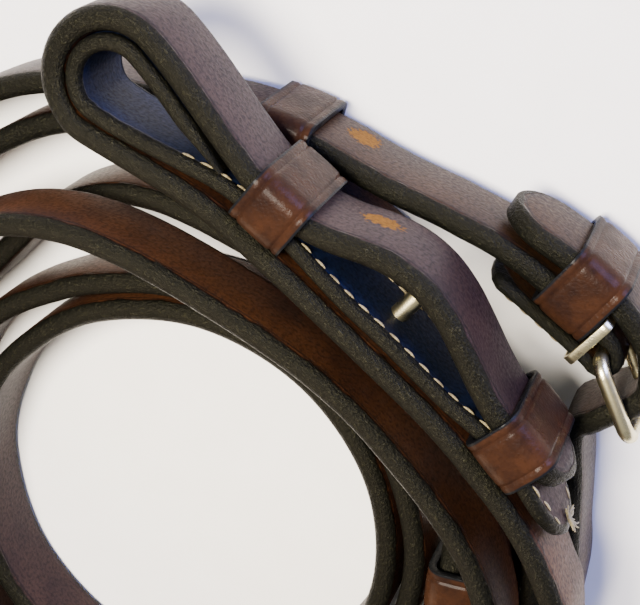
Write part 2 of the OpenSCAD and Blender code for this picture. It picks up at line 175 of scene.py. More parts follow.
def wind(piece, route, full_thick=None):
    """Bends a flat piece along a route, and keeps its flat places for the leather's pattern."""
    points = points_of(piece)
    flat = piece.data.attributes.new("flat", "FLOAT_VECTOR", "POINT")
    flat.data.foreach_set("vector", (points * MM).ravel())
    run = run_of(route)
    ways = np.gradient(route[:, :2], run, axis=0, edge_order=1)
    along = np.clip(points[:, 0], 0, run[-1])
    x, y, z = (np.interp(along, run, route[:, k]) for k in range(3))
    way_x, way_y = (np.interp(along, run, ways[:, k]) for k in range(2))
    size = np.hypot(way_x, way_y)
    way_x, way_y = way_x / size, way_y / size
    past = points[:, 0] - along
    side = points[:, 1]
    if full_thick:
        side = side * np.interp(along, run, route[:, 3]) / full_thick
    set_points(piece, np.stack([x + past * way_x - side * way_y + coil_middle.x,
                                y + past * way_y + side * way_x + coil_middle.y,
                                z + points[:, 2]], axis=1))
    bpy.ops.object.select_all(action="DESELECT")
    piece.select_set(True)
    bpy.context.view_layer.objects.active = piece
    bpy.ops.object.shade_smooth_by_angle(angle=radians(50))
    return piece


LOOP_MIDDLE, LOOP_RADIUS, LOOP_FROM, LOOP_TO = (3.4, 89.6), 4.8, 245, 38
loop_turn = LOOP_RADIUS + LINING_THICK + GLUE + STRAP_THICK / 2
near_route = smooth(
    [(75.8, 31, TOP)] + through(NEAR_SECOND, BILLET_OUT, TOP, -1)
    + at_height([(62.8, 47.2), (60.1, 52.4), (57.2, 57.6), (53.8, 61.9), (49.6, 65), (44.5, 67),
                 (39.2, 68.2)], TOP)
    + through(NEAR_FIRST, BILLET_OUT, TOP, -1)
    + at_height([(21.9, 82), (18, 87.2), (14.4, 91.9)], TOP)
    + at_height([on_circle(a, loop_turn, LOOP_MIDDLE) for a in range(LOOP_TO, LOOP_FROM, 18)], TOP)
    + at_height([(8.6, 76.3), (15.2, 73)], TOP) + through(NEAR_FIRST, 0, TOP)
    + at_height([(33.4, 59.4), (38.6, 55), (44, 50.4), (49.4, 45.8), (54.6, 41.2)], TOP)
    + through(NEAR_SECOND, 0, TOP) + at_height([(69.3, 24.3), (72.4, 19), (75, 13.2)], TOP)
    + round_coil([(5, 77.2, 29.5), (-8, 78, 29), (-22, 78, 28.4), (-40, 77.6, 27.6),
                  (-60, 77, 27), (-80, 76, 26.6), (-100, 75, 26.5), (-120, 73.8, 26.5),
                  (-140, 72.4, 26.5), (-160, 71, 26.5), (-180, 69.8, 26.5), (-200, 68.6, 26.6),
                  (-220, 67.6, 26.8), (-236, 67, 27), (-246, 66.4, 27), (-254, 65.4, 27),
                  (-262, 63.3, 27), (-270, 60.6, 27), (-279, 57.8, 27), (-288, 55.9, 27),
                  (-298, 55.2, 27), (-308, 55.5, 27), (-318, 56.4, 27), (-328, 57.7, 27),
                  (-338, 60.2, 27), (-348, 63.2, 27), (-358, 65.4, 27.3), (-368, 66.2, 27.8),
                  (-382, 66.2, 28.3), (-396, 65.6, 28.5), (-412, 64.4, 28.5), (-428, 62, 28.3),
                  (-444, 59, 27.6), (-460, 56.8, 25.8), (-476, 55.2, 23), (-492, 54, 19.6),
                  (-508, 53, 16), (-524, 52.4, 12.6), (-540, 52, 10), (-556, 51.8, 8.6),
                  (-570, 51.6, LOW), (-582, 50.8, LOW), (-592, 49.5, LOW), (-602, 48.2, LOW),
                  (-612, 47.5, LOW), (-630, 47, LOW), (-650, 47, LOW), (-670, 47.2, LOW),
                  (-690, 47.4, LOW), (-720, 47.4, LOW), (-750, 47.2, LOW), (-780, 46.8, LOW),
                  (-810, 46.4, LOW), (-840, 45.8, LOW), (-870, 45, LOW), (-900, 44, LOW),
                  (-925, 43, LOW), (-945, 42.4, LOW), (-970, 42.2, LOW), (-1000, 42.2, LOW),
                  (-1030, 42.3, LOW), (-1060, 42.3, LOW), (-1090, 42, LOW), (-1120, 41.6, LOW),
                  (-1150, 41.2, LOW)]))
near_length = run_of(near_route)[-1]
near_strap = flat_strap("near_bridle_strap", near_length, STRAP_THICK, STRAP_WIDTH, EDGE_ROUND)
round_tip(near_strap, near_length, STRAP_TIP)
round_tip(near_strap, near_length, STRAP_TIP, at_end=True)
wind(near_strap, near_route)


def linear(hex_colour):
    """An sRGB hex colour as the linear one that a shader takes."""
    parts = [int(hex_colour[i:i + 2], 16) / 255 for i in (1, 3, 5)]
    return (*((c / 12.92 if c <= 0.04045 else ((c + 0.055) / 1.055) ** 2.4) for c in parts), 1)


def add(tree, kind, sockets=(), **settings):
    """Adds one node with its settings, its fixed values and its links."""
    made = tree.nodes.new("ShaderNode" + kind)
    for name, value in settings.items():
        setattr(made, name, value)
    for socket, value in dict(sockets).items():
        if isinstance(value, bpy.types.NodeSocket):
            tree.links.new(value, made.inputs[socket])
        else:
            made.inputs[socket].default_value = value
    return made


def new_material(name):
    material = bpy.data.materials.new(name)
    material.use_nodes = True
    material.node_tree.nodes.clear()
    return material, material.node_tree


BURNISHED, PALE_FIBRE_AND_GLINT = "#0b0b09", "#2b2a1d"


def leather(name, face, face_dark, width, length, tip=STRAP_TIP, gloss=0.42, crease=None,
            scuff=None, tail=None, back=None):
    """Waxed bridle leather: mottled faces with fine pores, and burnished edges with paler flecks,
    partly fibres and partly painted glints.

    Its face and darker mottling are two colours, and so is a back side that differs. A scuff is
    its place and half sizes on the flat strap, and a tail the distance it starts at and its colour.
    """
    half_width = width / 2
    material, tree = new_material(name)
    flat = add(tree, "Attribute", attribute_name="flat").outputs["Vector"]
    axes = add(tree, "SeparateXYZ", {"Vector": flat})
    # How far a point is from the strap's middle line, which stops short of the round tips
    from_middle = add(tree, "Math", {0: axes.outputs["X"], 1: length / 2 * MM},
                      operation="SUBTRACT")
    from_middle = add(tree, "Math", {0: from_middle.outputs[0]}, operation="ABSOLUTE")
    past_middle = add(tree, "MapRange", {"Value": from_middle.outputs[0],
                                         "From Min": (length / 2 - tip) * MM,
                                         "From Max": length / 2 * MM, "To Max": half_width * MM})
    spot = add(tree, "CombineXYZ", {"X": past_middle.outputs[0], "Y": axes.outputs["Z"]})
    across = add(tree, "VectorMath", {0: spot.outputs[0]}, operation="LENGTH").outputs["Value"]
    # Mottling is about 12 mm across. Real pores and fibres are too fine to show, and so pores
    # are 0.7 mm here, fibre bundles 0.45 mm and clumps of them 2.4 mm
    mottle = add(tree, "TexNoise", {"Vector": flat, "Scale": 85, "Detail": 4, "Roughness": 0.6})
    pores = add(tree, "TexNoise", {"Vector": flat, "Scale": 1400, "Detail": 3, "Roughness": 0.55})
    long_way = add(tree, "Mapping", {"Vector": flat, "Scale": (0.6, 1, 1)})
    fibres = add(tree, "TexNoise", {"Vector": long_way.outputs[0], "Scale": 2300, "Detail": 3,
                                    "Roughness": 0.65})
    clumps = add(tree, "TexNoise", {"Vector": long_way.outputs[0], "Scale": 420, "Detail": 3})
    ragged = add(tree, "Math", {0: clumps.outputs[0], 1: 0.0011, 2: across},
                 operation="MULTIPLY_ADD").outputs[0]
    on_edge = add(tree, "MapRange", {"Value": ragged, "From Min": (half_width - 0.85) * MM,
                                     "From Max": (half_width - 0.45) * MM},
                  interpolation_type="SMOOTHSTEP").outputs[0]
    tone = add(tree, "MapRange", {"Value": mottle.outputs[0], "From Min": 0.35, "From Max": 0.7})
    faces = add(tree, "Mix", {0: tone.outputs[0], 6: linear(face), 7: linear(face_dark)},
                data_type="RGBA")
    if back:
        # The flesh side took the dye less, and is a warmer brown
        back_faces = add(tree, "Mix", {0: tone.outputs[0], 6: linear(back[0]), 7: linear(back[1])},
                         data_type="RGBA")
        is_back = add(tree, "Math", {0: axes.outputs["Y"], 1: 0.0}, operation="GREATER_THAN")
        faces = add(tree, "Mix", {0: is_back.outputs[0], 6: faces.outputs[2],
                                  7: back_faces.outputs[2]}, data_type="RGBA")
    if tail:
        # The last stretch shows the leather's own brown, where the painted navy shade stops
        tail_from, tail_face = tail
        unshaded = add(tree, "MapRange", {"Value": axes.outputs["X"], "From Min": tail_from * MM,
                                         "From Max": (tail_from + 3) * MM}).outputs[0]
        faces = add(tree, "Mix", {0: unshaded, 6: faces.outputs[2], 7: linear(tail_face)},
                    data_type="RGBA")
    speck = add(tree, "MapRange", {"Value": pores.outputs[0], "From Min": 0.44, "From Max": 0.66,
                                   "To Max": 0.62})
    faces = add(tree, "Mix", {0: speck.outputs[0], 6: faces.outputs[2], 7: linear(BURNISHED)},
                data_type="RGBA")
    # Pale flecks on the burnished edges: partly real fibres, partly painted glints
    fibre_and_glint_flecks = add(tree, "MapRange", {"Value": fibres.outputs[0], "From Min": 0.56, "From Max": 0.76,
                                  "To Max": 0.7})
    edges = add(tree, "Mix", {0: fibre_and_glint_flecks.outputs[0], 6: linear(BURNISHED), 7: linear(PALE_FIBRE_AND_GLINT)},
                data_type="RGBA")
    colour = add(tree, "Mix", {0: on_edge, 6: faces.outputs[2], 7: edges.outputs[2]},
                 data_type="RGBA").outputs[2]
    height = add(tree, "Math", {0: pores.outputs[0], 1: 0.4}, operation="MULTIPLY").outputs[0]
    if crease:
        # A line pressed into the face with a hot iron, which darkens it
        from_line = add(tree, "Math", {0: across, 1: crease * MM, 2: 0.00022},
                        operation="COMPARE").outputs[0]
        height = add(tree, "Math", {0: from_line, 1: -0.8, 2: height},
                     operation="MULTIPLY_ADD").outputs[0]
        dark_line = add(tree, "Math", {0: from_line, 1: 0.55}, operation="MULTIPLY").outputs[0]
        colour = add(tree, "Mix", {0: dark_line, 6: colour, 7: linear(BURNISHED)},
                     data_type="RGBA").outputs[2]
    rough_edge = add(tree, "Math", {0: fibres.outputs[0], 1: 1.9}, operation="MULTIPLY").outputs[0]
    height = add(tree, "Mix", {0: on_edge, 2: height, 3: rough_edge}, data_type="FLOAT").outputs[0]
    shine = add(tree, "MapRange", {"Value": pores.outputs[0], "From Min": 0.3, "From Max": 0.7,
                                   "To Min": gloss - 0.07, "To Max": gloss + 0.1}).outputs[0]
    sparkle = add(tree, "MapRange", {"Value": fibres.outputs[0], "From Min": 0.45, "From Max": 0.7,
                                     "To Min": 0.45, "To Max": 0.16}).outputs[0]
    rough = add(tree, "Mix", {0: on_edge, 2: shine, 3: sparkle}, data_type="FLOAT").outputs[0]
    # Painted reflection colour: the gloss is tinted violet on the faces and pale yellow on the edges
    painted_reflection_tint = add(tree, "Mix", {0: on_edge, 6: linear("#c4b9ff"), 7: linear("#fdf8d4")},
               data_type="RGBA").outputs[2]
    if scuff:
        # A rubbed patch where the finish has gone and the raw tan leather shows
        place, size = scuff
        apart = add(tree, "VectorMath", {0: flat, 1: [v * MM for v in place]},
                    operation="SUBTRACT").outputs[0]
        apart = add(tree, "VectorMath", {0: apart, 1: [1 / (v * MM) for v in size]},
                    operation="MULTIPLY").outputs[0]
        apart = add(tree, "VectorMath", {0: apart}, operation="LENGTH").outputs["Value"]
        apart = add(tree, "Math", {0: clumps.outputs[0], 1: 1.1, 2: apart},
                    operation="MULTIPLY_ADD").outputs[0]
        apart = add(tree, "Math", {0: pores.outputs[0], 1: 1.6, 2: apart},
                    operation="MULTIPLY_ADD").outputs[0]
        bare = add(tree, "MapRange", {"Value": apart, "From Min": 2.35,
                                      "From Max": 2.15}).outputs[0]
        tan = add(tree, "Mix", {0: fibres.outputs[0], 6: linear("#2a1a08"), 7: linear("#8a6024")},
                  data_type="RGBA").outputs[2]
        colour = add(tree, "Mix", {0: bare, 6: colour, 7: tan}, data_type="RGBA").outputs[2]
        rough = add(tree, "Mix", {0: bare, 2: rough, 3: 0.85}, data_type="FLOAT").outputs[0]
    bump = add(tree, "Bump", {"Height": height, "Strength": 0.9, "Distance": 0.00022})
    shader = add(tree, "BsdfPrincipled", {"Base Color": colour, "Roughness": rough,
                                          "Normal": bump.outputs[0], "IOR": 1.5,
                                          "Specular IOR Level": 0.072, "Specular Tint": painted_reflection_tint})
    add(tree, "OutputMaterial", {"Surface": shader.outputs[0]})
    return material


def dress(piece, material, body, slot, *nodes):
    """Gives a finished piece its material and its body, and hides the solids that it stands for; its
    slot is not used.
    """
    piece.data.materials.clear()
    piece.data.materials.append(material)
    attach(piece, body)
    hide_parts(*nodes)


billet_scuff = (49.6, -STRAP_THICK / 2, -1.8), (3.4, 3, 2)
dress(near_strap, leather("waxed_bridle_leather_near", "#33251f", "#241917", STRAP_WIDTH, near_length,
                          crease=EDGE_CREASE, scuff=billet_scuff, back=("#472b18", "#2d1a10")),
      "root", "strap", "near_strap")

# ---- Near lining ----
# A thinner strip of brown lining leather, painted navy for cool shade, sewn on the strap's end and
# turned round in the loop.
# Its free end is pared to a rounded point, just past the second keeper.
NEAR_STUD = (44, 50.4, -40.4)
STUD_FOOT, STUD_PLATE = STRAP_THICK / 2 + 2 * GLUE, 0.5
LINING_CLOSE = STUD_FOOT + STUD_PLATE + GLUE + LINING_THICK / 2
LINING_WIDTH, LINING_EDGE, LINING_TIP = 15.6, 1.2, 10
PARED_RUN, PARED_THICK, UNSHADED_TAIL = 9, 0.9, 17
# Painted shade: the lining's brown is coloured navy for the cool shade it lies in, all but the last
# stretch of its free end
PAINTED_SHADE_NAVY, PAINTED_SHADE_NAVY_DARK, LINING_GLOSS = "#141f3a", "#0e1625", 0.5
lining_bend = LOOP_RADIUS + LINING_THICK / 2
lining_route = smooth(
    at_height([(21.4, 77.2), (18.3, 81.1), (15.1, 85), (11.5, 89.7)], TOP)
    + at_height([on_circle(a, lining_bend, LOOP_MIDDLE) for a in range(LOOP_TO, LOOP_FROM, 23)],
                TOP)
    + at_height([(3.5, 82.7), (8.4, 80.6), (14.6, 78.1), (20, 75.9)], TOP)
    + through(NEAR_FIRST, LINING_OUT, TOP) + at_height([(36.5, 62.9), (41.4, 58.3)], TOP)
    + at_height([beside(NEAR_STUD, 0, LINING_CLOSE), (52.2, 49), (57.6, 44.2)], TOP)
    + through(NEAR_SECOND, LINING_OUT, TOP)
    + at_height([(72.4, 28.2), (75.2, 23.3), (76, 21.5)], TOP))
pared = np.interp(run_of(lining_route), [0, PARED_RUN], [PARED_THICK, LINING_THICK])
lining_route = np.column_stack([lining_route, pared])
lining_length = run_of(lining_route)[-1]
near_lining = flat_strap("near_lining_in_painted_navy_shade", lining_length, LINING_THICK, LINING_WIDTH, LINING_EDGE)
round_tip(near_lining, lining_length, LINING_TIP, at_end=True, skive=0.6)
wind(near_lining, lining_route, LINING_THICK)
dress(near_lining, leather("lining_leather_painted_navy_shade_near", PAINTED_SHADE_NAVY, PAINTED_SHADE_NAVY_DARK, LINING_WIDTH, lining_length,
                           tip=LINING_TIP, gloss=LINING_GLOSS,
                           tail=(lining_length - UNSHADED_TAIL, "#2a1b17")),
      "root", "lining", "near_lining")

# ---- Near stitching ----
# Waxed cream linen thread, about eight stitches to the inch, in two rows on the lining.
# The rows meet at its point, where the ends are tied off in a frayed knot.
STITCH_PITCH, STITCH_LENGTH, THREAD, STITCH_INSET = 3.2, 2.2, 0.42, 1.45
NEAR_SEWN, NEAR_TIE = 84, 2
KNOT_FIBRES, FIBRE_RADIUS, KNOT_SEED = 13, 0.17, 7


def linen():
    """Waxed linen thread: pale cream, two strands twisted together, a little dirty."""
    material, tree = new_material("waxed_linen_thread")
    flat = add(tree, "Attribute", attribute_name="flat").outputs["Vector"]
    # Dirt is in spots of about 1.1 mm, and the strands cross every 0.45 mm
    dirt = add(tree, "TexNoise", {"Vector": flat, "Scale": 900, "Detail": 3})
    turned = add(tree, "Mapping", {"Vector": flat, "Rotation": (0, radians(38), 0)})
    twist = add(tree, "TexWave", {"Vector": turned.outputs[0], "Scale": 700, "Distortion": 0.6},
                bands_direction="X")
    tone = add(tree, "MapRange", {"Value": dirt.outputs[0], "From Min": 0.4, "From Max": 0.7})
    colour = add(tree, "Mix", {0: tone.outputs[0], 6: linear("#7d7250"), 7: linear("#4a3f24")},
                 data_type="RGBA")
    bump = add(tree, "Bump", {"Height": twist.outputs[1], "Strength": 0.7, "Distance": 0.0001})
    shader = add(tree, "BsdfPrincipled", {"Base Color": colour.outputs[2], "Roughness": 0.6,
                                          "Normal": bump.outputs[0], "Sheen Weight": 0.2})
    add(tree, "OutputMaterial", {"Surface": shader.outputs[0]})
    return material


thread = linen()


def one_stitch():
    """One stitch: a short fat bead of thread, sunk at both ends."""
    bpy.ops.object.select_all(action="DESELECT")
    bpy.ops.mesh.primitive_uv_sphere_add(segments=8, ring_count=7, radius=0.5)
    bead = bpy.context.object
    bpy.ops.object.transform_apply()
    points = points_of(bead) * MM
    points = points[:, [2, 1, 0]] * (STITCH_LENGTH, THREAD, THREAD)
    points[:, 1] -= 0.3 * (points[:, 0] / STITCH_LENGTH) ** 2 * THREAD * 4
    set_points(bead, points)
    bpy.ops.object.mode_set(mode="EDIT")
    bpy.ops.mesh.select_all(action="SELECT")
    bpy.ops.mesh.normals_make_consistent(inside=False)
    bpy.ops.object.mode_set(mode="OBJECT")
    return bead


def join(name, pieces):
    bpy.ops.object.select_all(action="DESELECT")
    for piece in pieces:
        piece.select_set(True)
    bpy.context.view_layer.objects.active = pieces[0]
    bpy.ops.object.join()
    pieces[0].name = pieces[0].data.name = name
    return pieces[0]


def sew(name, places):
    """Copies one stitch to each place on a flat strip: along, out and across, and its slant."""
    bead = one_stitch()
    copies = []
    for along, out, across, slant in places:
        copy = bpy.data.objects.new("stitch", bead.data.copy())
        bpy.context.scene.collection.objects.link(copy)
        copy.data.transform(Matrix.Translation(Vector((along, out, across)) * MM)
                            @ Matrix.Rotation(radians(slant), 4, "Y"))
        copies.append(copy)
    bpy.data.objects.remove(bead)
    return join(name, copies)


def rows(start, end, out, tip_at=None):
    """Both rows of stitches, which draw together where the strip's end is pared to a point."""
    places = []
    for side in (-1, 1):
        for along in np.arange(start, end, STITCH_PITCH):
            across, slant, share = STRAP_WIDTH / 2 - STITCH_INSET, 4, 0
            if tip_at and along > tip_at - LINING_TIP:
                share = min(1, (along - tip_at + LINING_TIP) / LINING_TIP)
                across *= max(0.12, (1 - share ** 2) ** 0.5 - 0.12)
                slant = 4 + 30 * share
            places.append((along, out * (1 - 0.42 * share ** 2), side * across, side * slant))
    return places


lining_face = LINING_THICK / 2 + 0.12
near_thread = sew("near_linen_stitching", rows(lining_length - NEAR_SEWN, lining_length - NEAR_TIE,
                                               lining_face, lining_length))
wind(near_thread, lining_route)
dress(near_thread, thread, "root", "thread", "near_stitching")


def frayed_knot(name, route, at, out):
    """The ends of the thread, knotted and frayed: short fibres that curl out of one place."""
    random = np.random.default_rng(KNOT_SEED)
    curve = bpy.data.curves.new(name, "CURVE")
    curve.dimensions, curve.bevel_depth, curve.bevel_resolution = "3D", FIBRE_RADIUS * MM, 2
    curve.use_fill_caps = True
    for k in range(KNOT_FIBRES):
        spline = curve.splines.new("POLY")
        bend = random.uniform(-1, 1, 3)
        reach = random.uniform(1.2, 2.8)
        way = random.uniform(-1.1, 1.1) + (0 if k % 3 else pi)
        spline.points.add(7)
        for n, point in enumerate(spline.points):
            share = n / 7
            turn = way + 1.3 * bend[0] * share
            spot = Vector((at + reach * share * cos(turn), out + 0.25 + 0.9 * abs(bend[1]) * share,
                           0.3 * bend[2] + reach * share * sin(turn)))
            point.co = (*(spot * MM), 1)
            point.radius = 1.5 - 0.9 * share
    knot = bpy.data.objects.new(name, curve)
    bpy.context.scene.collection.objects.link(knot)
    bpy.ops.object.select_all(action="DESELECT")
    knot.select_set(True)
    bpy.context.view_layer.objects.active = knot
    bpy.ops.object.convert(target="MESH")
    knot = bpy.context.object
    wind(knot, route)
    return knot


knot = frayed_knot("near_frayed_knot", lining_route, lining_length - NEAR_TIE, 0.7 * lining_face)
dress(knot, thread, "root", "thread")

# ---- Leather keepers ----
# Each keeper is a band of glazed brown leather, creased along both edges and closed in a ring.
# It holds the layers that pass through it, and its cut edges are painted black.
KEEPER_ROOM = 0.3
KEEPER_HIGH = STRAP_WIDTH + 2 * (KEEPER_ROOM + KEEPER_THICK)
KEEPER_FROM = STRAP_THICK / 2 + GLUE
KEEPER_TO = BILLET_OUT + STRAP_THICK / 2 + KEEPER_ROOM + KEEPER_THICK
KEEPER_CREASE, CREASE_WIDE, CREASE_DEEP, BELLY = 1.5, 0.28, 0.3, 0.22
RIM_SHARE = 0.22


def band(name, place, height, span, high, length, thick, corner, crease=0):
    """A ring round a strap at a place: its span is from one offset beside the strap to another.

    A leather one has a crease at this distance from each edge and a slight belly between them.
    """
    ring = block(name, (0, (span[0] + span[1]) / 2, 0), (length, span[1] - span[0], high))
    select("FACE", lambda face: abs(face.normal.x) > 0.9)
    bpy.ops.mesh.delete(type="FACE")
    select("EDGE", runs_along)
    bpy.ops.mesh.bevel(offset=corner * MM, segments=7, affect="EDGES")
    if crease:
        select("EDGE", runs_along)
        bpy.ops.mesh.subdivide(number_cuts=31)
    bpy.ops.object.mode_set(mode="OBJECT")
    if crease:
        normals = np.array([v.normal for v in ring.data.vertices])
        points = points_of(ring)
        normals[:, 0] = 0
        from_edge = length / 2 - np.abs(points[:, 0])
        dip = np.exp(-((from_edge - crease) / CREASE_WIDE) ** 2)
        belly = BELLY * (1 - (points[:, 0] / (length / 2)) ** 2)
        set_points(ring, points + normals * (belly - CREASE_DEEP * dip)[:, None])
    flat = ring.data.attributes.new("flat", "FLOAT_VECTOR", "POINT")
    flat.data.foreach_set("vector", (points_of(ring) * MM).ravel())
    solid = ring.modifiers.new("wall", "SOLIDIFY")
    solid.thickness, solid.offset = thick * MM, -1
    bpy.ops.object.modifier_apply(modifier="wall")
    rounded = ring.modifiers.new("rim", "BEVEL")
    rounded.width, rounded.segments, rounded.limit_method = RIM_SHARE * thick * MM, 2, "ANGLE"
    rounded.angle_limit = radians(60)
    bpy.ops.object.modifier_apply(modifier="rim")
    x, y = beside((coil_middle.x + place[0], coil_middle.y + place[1], place[2]), 0, 0)
    ring.data.transform(Matrix.Translation(Vector((x, y, height)) * MM)
                        @ Matrix.Rotation(radians(place[2]), 4, "Z"))
    bpy.ops.object.shade_smooth_by_angle(angle=radians(50))
    return ring


def keeper_leather():
    """Glazed keeper leather: brown, polished by wear, darker in its pores, with black cut edges."""
    material, tree = new_material("glazed_keeper_leather")
    flat = add(tree, "Attribute", attribute_name="flat").outputs["Vector"]
    place = add(tree, "TexCoord").outputs["Object"]
    axes = add(tree, "SeparateXYZ", {"Vector": flat})
    along = add(tree, "Math", {0: axes.outputs["X"]}, operation="ABSOLUTE").outputs[0]
    # Blotches are about 6 mm across, and pores are drawn 0.6 mm wide so that they show
    blotch = add(tree, "TexNoise", {"Vector": place, "Scale": 170, "Detail": 5, "Roughness": 0.65})
    pores = add(tree, "TexNoise", {"Vector": place, "Scale": 1700, "Detail": 2})
    tone = add(tree, "MapRange", {"Value": blotch.outputs[0], "From Min": 0.36, "From Max": 0.66})
    colour = add(tree, "Mix", {0: tone.outputs[0], 6: linear("#301d12"), 7: linear("#1a0f0b")},
                 data_type="RGBA")
    speck = add(tree, "MapRange", {"Value": pores.outputs[0], "From Min": 0.55, "From Max": 0.75,
                                   "To Max": 0.5})
    colour = add(tree, "Mix", {0: speck.outputs[0], 6: colour.outputs[2], 7: linear("#20120a")},
                 data_type="RGBA")
    wobble = add(tree, "Math", {0: blotch.outputs[0], 1: 0.0003, 2: along},
                 operation="MULTIPLY_ADD")
    cut = add(tree, "MapRange", {"Value": wobble.outputs[0],
                                 "From Min": (KEEPER_LENGTH / 2 - 0.3) * MM,
                                 "From Max": (KEEPER_LENGTH / 2 - 0.15) * MM}).outputs[0]
    colour = add(tree, "Mix", {0: cut, 6: colour.outputs[2], 7: linear("#101113")},
                 data_type="RGBA").outputs[2]
    rough = add(tree, "MapRange", {"Value": blotch.outputs[0], "From Min": 0.35, "From Max": 0.7,
                                   "To Min": 0.24, "To Max": 0.46}).outputs[0]
    height = add(tree, "Math", {0: blotch.outputs[0], 1: 0.5, 2: pores.outputs[0]},
                 operation="MULTIPLY_ADD").outputs[0]
    bump = add(tree, "Bump", {"Height": height, "Strength": 0.5, "Distance": 0.0002})
    shader = add(tree, "BsdfPrincipled", {"Base Color": colour, "Roughness": rough,
                                          "Normal": bump.outputs[0], "IOR": 1.5,
                                          "Specular IOR Level": 0.035,
                                          "Coat Weight": 0.022, "Coat Roughness": 0.14})
    add(tree, "OutputMaterial", {"Surface": shader.outputs[0]})
    return material


glazed = keeper_leather()
two_straps = KEEPER_FROM, KEEPER_TO


def keeper(name, node, place, span, height, body="root", corner=3.1):
    made = band(name, place, height, span, KEEPER_HIGH, KEEPER_LENGTH, KEEPER_THICK, corner,
                KEEPER_CREASE)
    dress(made, glazed, body, "keeper", node)


keeper("near_first_leather_keeper", "near_keeper_first", NEAR_FIRST, two_straps, TOP)
keeper("near_second_leather_keeper", "near_keeper_second", NEAR_SECOND, two_straps, TOP)

# ---- Hook studs ----
# A turned brass stud, riveted through the lining on a thin round plate.
# Its flat top has a small worn chamfer.
STUD_RADIUS, STUD_REACH, STUD_CHAMFER = 1.6, 6, 0.3
PLATE_RADIUS, PLATE_CHAMFER = 4, 0.15
stud_top = LINING_CLOSE + LINING_THICK / 2 + STUD_REACH


def brass():
    """Cast and polished brass, dulled to a pale yellow, with fine rubbing marks and dark spots."""
    material, tree = new_material("dulled_polished_brass")
    place = add(tree, "TexCoord").outputs["Object"]
    # Tarnish clouds are about 4 mm across and rubbing marks 0.25 mm
    cloud = add(tree, "TexNoise", {"Vector": place, "Scale": 250, "Detail": 4})
    marks = add(tree, "TexNoise", {"Vector": place, "Scale": 4000, "Detail": 2})
    tone = add(tree, "MapRange", {"Value": cloud.outputs[0], "From Min": 0.42, "From Max": 0.72})
    colour = add(tree, "Mix", {0: tone.outputs[0], 6: linear("#e2dab4"), 7: linear("#a89a6b")},
                 data_type="RGBA")
    rough = add(tree, "MapRange", {"Value": cloud.outputs[0], "From Min": 0.35, "From Max": 0.75,
                                   "To Min": 0.2, "To Max": 0.42})
    bump = add(tree, "Bump", {"Height": marks.outputs[0], "Strength": 0.25, "Distance": 0.0001})
    shader = add(tree, "BsdfPrincipled", {"Base Color": colour.outputs[2], "Metallic": 1.0,
                                          "Roughness": rough.outputs[0],
                                          "Normal": bump.outputs[0]})
    add(tree, "OutputMaterial", {"Surface": shader.outputs[0]})
    return material


metal = brass()


def turned(radius, low, high, chamfer):
    """A turned disc or pin that stands out along +Z, with its top edge rounded off."""
    bpy.ops.object.select_all(action="DESELECT")
    bpy.ops.mesh.primitive_cylinder_add(vertices=40, radius=radius * MM, depth=(high - low) * MM,
                                        location=(0, 0, (low + high) / 2 * MM))
    part = bpy.context.object
    bpy.ops.object.transform_apply(location=True)
    bpy.ops.object.mode_set(mode="EDIT")
    select("FACE", lambda face: face.normal.z > 0.9)
    bpy.ops.mesh.bevel(offset=chamfer * MM, segments=3, affect="EDGES")
    bpy.ops.object.mode_set(mode="OBJECT")
    return part


def hook_stud(name, node, place, height):
    stud = join(name, [turned(PLATE_RADIUS, STUD_FOOT, STUD_FOOT + STUD_PLATE, PLATE_CHAMFER),
                       turned(STUD_RADIUS, STUD_FOOT, stud_top, STUD_CHAMFER)])
    foot = Vector((coil_middle.x + place[0], coil_middle.y + place[1], height))
    stud.data.transform(Matrix.Translation(foot * MM) @ Matrix.Rotation(radians(place[2]), 4, "Z")
                        @ Matrix.Rotation(radians(-90), 4, "X"))
    bpy.ops.object.shade_smooth_by_angle(angle=radians(35))
    dress(stud, metal, "root", "metal", node)


hook_stud("near_turned_stud", "near_hook_stud", NEAR_STUD, TOP)

# ---- Second strap ----
# A second strap of the same leather, under the first one, with a doubled hook-stud end of its own.
# That end sits low inside the coil, and the strap then winds outward.
SECOND_FIRST, SECOND_SECOND = (42.2, -46.8, 42), (62.9, -4.4, 86)
SECOND_STUD = (56.9, -27.7, 64)
SMALL_LOOP, SMALL_RADIUS = (14.2, -56.8), 6
KEEPER_LIFT = 2
LIFTED = LOW + KEEPER_LIFT
SEWN_FROM, SEWN_TO = 14, 12


def eased(angle, radius, lift):
    """A station where the strap sinks from its keepers' height to the lower layer's."""
    return angle, radius, LOW + lift * KEEPER_LIFT / 2


